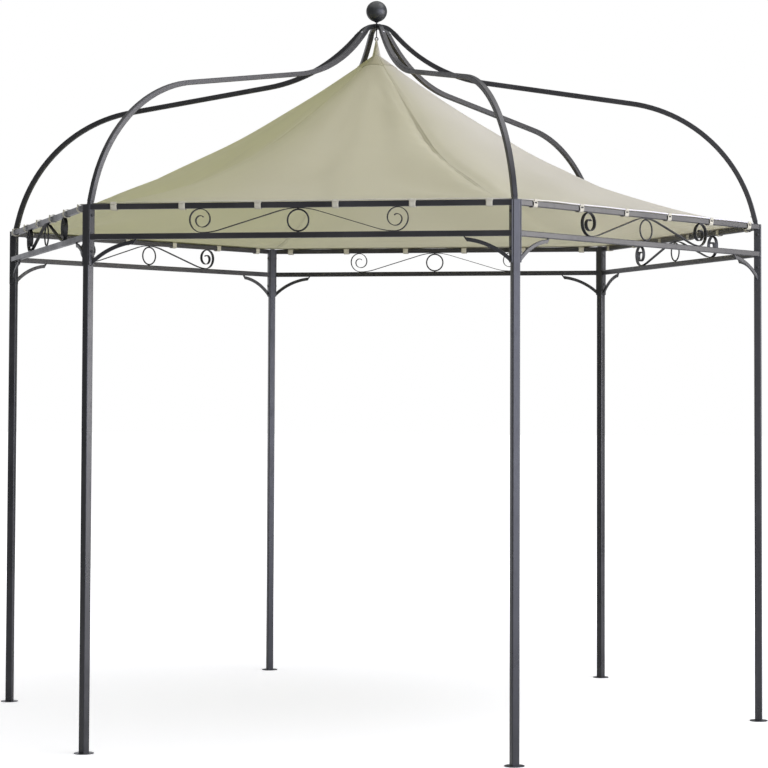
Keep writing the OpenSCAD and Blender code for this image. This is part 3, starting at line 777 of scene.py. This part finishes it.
# painted shade: the straps towards the lit right side are darkened, against the strong light there
right_strap_shade = webbing.band(webbing.split(webbing.place())[0], 0.80, 1.00)
new_tape = webbing.blend(fade, (0.60, 0.56, 0.42, 1), (0.74, 0.71, 0.58, 1))
WEBBING = webbing.finish(webbing.add("ShaderNodeBsdfPrincipled", {}, {
    "Base Color": webbing.blend(right_strap_shade * 0.30, new_tape, (0.25, 0.24, 0.20, 1)),
    "Roughness": 0.7,
    "Normal": webbing.bump(rib, 0.0002, 0.5)}))
straps, slots = [], []
for bay in range(6):
    for i, place in enumerate(STRAP_PLACES[bay]):
        seed = bay * 6 + i
        # no two straps hang alike, and they are stretched where the hem is drawn in
        bulge, drop = 0.0022 + 0.0012 * wander(seed, 1.3), 0.0028 + 0.0016 * wander(seed, 2.9)
        drawn = HEM_DRAWN[bay] / MOST_DRAWN
        bulge, rise = bulge + 0.005 * drawn, (0.0045 + 0.0030 * wander(seed, 9.1)) * drawn
        strap = loop_band("strap", strap_path(bulge, drop, rise), STRAP_WIDTH, STRAP_THICKNESS,
                          flare=0.16 + 0.3 * wander(seed, 7.7))
        spot = (Matrix.Rotation(math.radians(60 * bay), 4, "Z")
                @ Matrix.Translation((place, -RAIL_DISTANCE, RAIL_MIDDLE))
                @ Matrix.Rotation(0.05 * wander(seed, 5.1), 4, "Y"))
        strap.data.transform(spot)
        straps.append(strap)
        if bay in OPEN_FOLDS:
            select_none()
            bpy.ops.mesh.primitive_cube_add(
                size=1, scale=SLOT_SIZE, location=(0, -RAIL_HALF - bulge - SLOT_DEPTH, SLOT_HEIGHT))
            slot = new_piece("slot")
            slot.data.transform(spot)
            slots.append(slot)
        select_none()
        bpy.ops.mesh.primitive_cube_add(
            size=1, scale=TAB_SIZE, location=(0, -RAIL_HALF - TAB_DEPTH, TAB_HEIGHT))
        tab = new_piece("tab")
        bpy.ops.object.mode_set(mode="EDIT")
        bpy.ops.mesh.bevel(offset=0.0005, segments=2, affect="EDGES")
        bpy.ops.object.mode_set(mode="OBJECT")
        tab.data.transform(spot)
        straps.append(tab)
all_straps = painted(joined(straps, "rail_straps"), WEBBING)
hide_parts("canopy_straps")
# painted shadow: near-black boxes in the open folds stand in for the shade there
dark = Paint("strap_slot_shadow")
painted(joined(slots, "strap_slot_shadows"), dark.finish(dark.add("ShaderNodeBsdfPrincipled", {}, {
    "Base Color": (0.03, 0.028, 0.025, 1), "Roughness": 0.9})))

# The loop at the peak is wide on the hook, narrows downwards and runs on below its solid
loop_low, loop_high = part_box("canopy_loop")
loop_half = (loop_high.y - loop_low.y) / 2 - LOOP_THICKNESS
loop_tall = loop_high.z - loop_low.z + 0.012
loop_path = []
for i in range(LOOP_POINTS):
    turn = 2 * math.pi * i / LOOP_POINTS
    loop_path.append((loop_half * math.sin(turn) * (0.65 + 0.35 * math.cos(turn)),
                      loop_tall / 2 * math.cos(turn)))
loop = loop_band("peak_loop", loop_path, LOOP_WIDTH, LOOP_THICKNESS, across=3)
loop.data.transform(Matrix.Translation((0, 0, loop_high.z - 0.0005 - loop_tall / 2)))
painted(loop, WEBBING)
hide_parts("canopy_loop")


# ---- Studio ----
# A pale floor and a white room. Two large soft panels at the front right and the right are the
# key, two overhead are the sky, a weak one fills the front, and a weaker one at the back left
# gives the grazing shine on the far sides of tubes.

FLOOR_SIZE, ROOM_LIGHT = 160, 0.24
AIM = Vector((0, 0, 1.8))
select_none()
bpy.ops.mesh.primitive_plane_add(size=FLOOR_SIZE, location=(0, 0, 0))
floor = new_piece("floor")
pale = Paint("studio_floor")
seen = pale.add("ShaderNodeLightPath", {}, {}, "Is Camera Ray")
reach = pale.add("ShaderNodeVectorMath", {"operation": "LENGTH"}, {0: pale.place()}, "Value")
lift = 0.55 + 0.45 * pale.band(reach, 1.5, 7.0)
matt = pale.add("ShaderNodeBsdfDiffuse", {}, {"Color": (0.70, 0.70, 0.71, 1)})
glow = pale.add("ShaderNodeEmission", {}, {"Color": (1, 1, 1, 1), "Strength": seen * lift})
floor.data.materials.append(pale.finish(pale.add("ShaderNodeAddShader", {}, {0: matt, 1: glow})))

world = bpy.data.worlds.new("white_room")
bpy.context.scene.world = world
world.use_nodes = True
room = world.node_tree
room.nodes.clear()
path = room.nodes.new("ShaderNodeLightPath")
dim = room.nodes.new("ShaderNodeBackground")
dim.inputs["Color"].default_value = (0.95, 0.98, 1.0, 1)
dim.inputs["Strength"].default_value = ROOM_LIGHT
white = room.nodes.new("ShaderNodeBackground")
white.inputs["Color"].default_value = (1, 1, 1, 1)
both = room.nodes.new("ShaderNodeMixShader")
shown = room.nodes.new("ShaderNodeOutputWorld")
room.links.new(path.outputs["Is Camera Ray"], both.inputs[0])
room.links.new(dim.outputs[0], both.inputs[1])
room.links.new(white.outputs[0], both.inputs[2])
room.links.new(both.outputs[0], shown.inputs["Surface"])


def panel(name, azimuth, distance, height, width, tall, radiance, colour=(1, 1, 1)):
    """A soft panel that faces the gazebo, with its place, its size, its brightness and colour."""
    lamp = bpy.data.lights.new(name, "AREA")
    lamp.shape, lamp.size, lamp.size_y, lamp.color = "RECTANGLE", width, tall, colour
    lamp.energy = math.pi * width * tall * radiance
    holder = bpy.data.objects.new(name, lamp)
    turn = math.radians(azimuth)
    holder.location = (distance * math.cos(turn), distance * math.sin(turn), height)
    holder.rotation_euler = (AIM - Vector(holder.location)).to_track_quat("-Z", "Y").to_euler()
    holder.visible_camera = False
    bpy.context.collection.objects.link(holder)


panel("key", 333, 9.0, 2.9, 9.5, 5.6, 3.1, (0.91, 0.935, 1.15))
panel("side", 6, 9.0, 2.3, 5.2, 3.9, 3.65, (1.0, 0.97, 0.955))
panel("sky", 300, 1.0, 9.0, 13.0, 13.0, 0.92, (1.0, 0.985, 0.985))
panel("high_right", 5, 5.0, 9.5, 6.0, 5.0, 1.6, (0.97, 0.98, 1.03))
panel("front", 283, 12.6, 2.6, 4.6, 4.6, 0.8)
panel("back_left", 130, 9.0, 2.5, 5.0, 5.0, 0.66, (0.98, 0.98, 1.05))

EYE = Vector((2.253, -10.849, 1.436))
YAW, PITCH, ROLL = math.radians(10.006), math.radians(2.314), math.radians(0.167)
forward = Vector((-math.sin(YAW) * math.cos(PITCH), math.cos(YAW) * math.cos(PITCH), math.sin(PITCH)))
right = Vector((math.cos(YAW), math.sin(YAW), 0))
up = right.cross(forward)
level_right = math.cos(ROLL) * right + math.sin(ROLL) * up
level_up = math.cos(ROLL) * up - math.sin(ROLL) * right
lens = bpy.data.cameras.new("long_lens")
lens.lens, lens.sensor_width = 112.69, 36
lens.shift_x, lens.shift_y = -0.0831, -0.1094
camera = bpy.data.objects.new("camera", lens)
camera.matrix_world = Matrix((
    (level_right.x, level_up.x, -forward.x, EYE.x),
    (level_right.y, level_up.y, -forward.y, EYE.y),
    (level_right.z, level_up.z, -forward.z, EYE.z),
    (0, 0, 0, 1)))
bpy.context.collection.objects.link(camera)
bpy.context.scene.camera = camera
bpy.context.scene.view_settings.view_transform = "Standard"
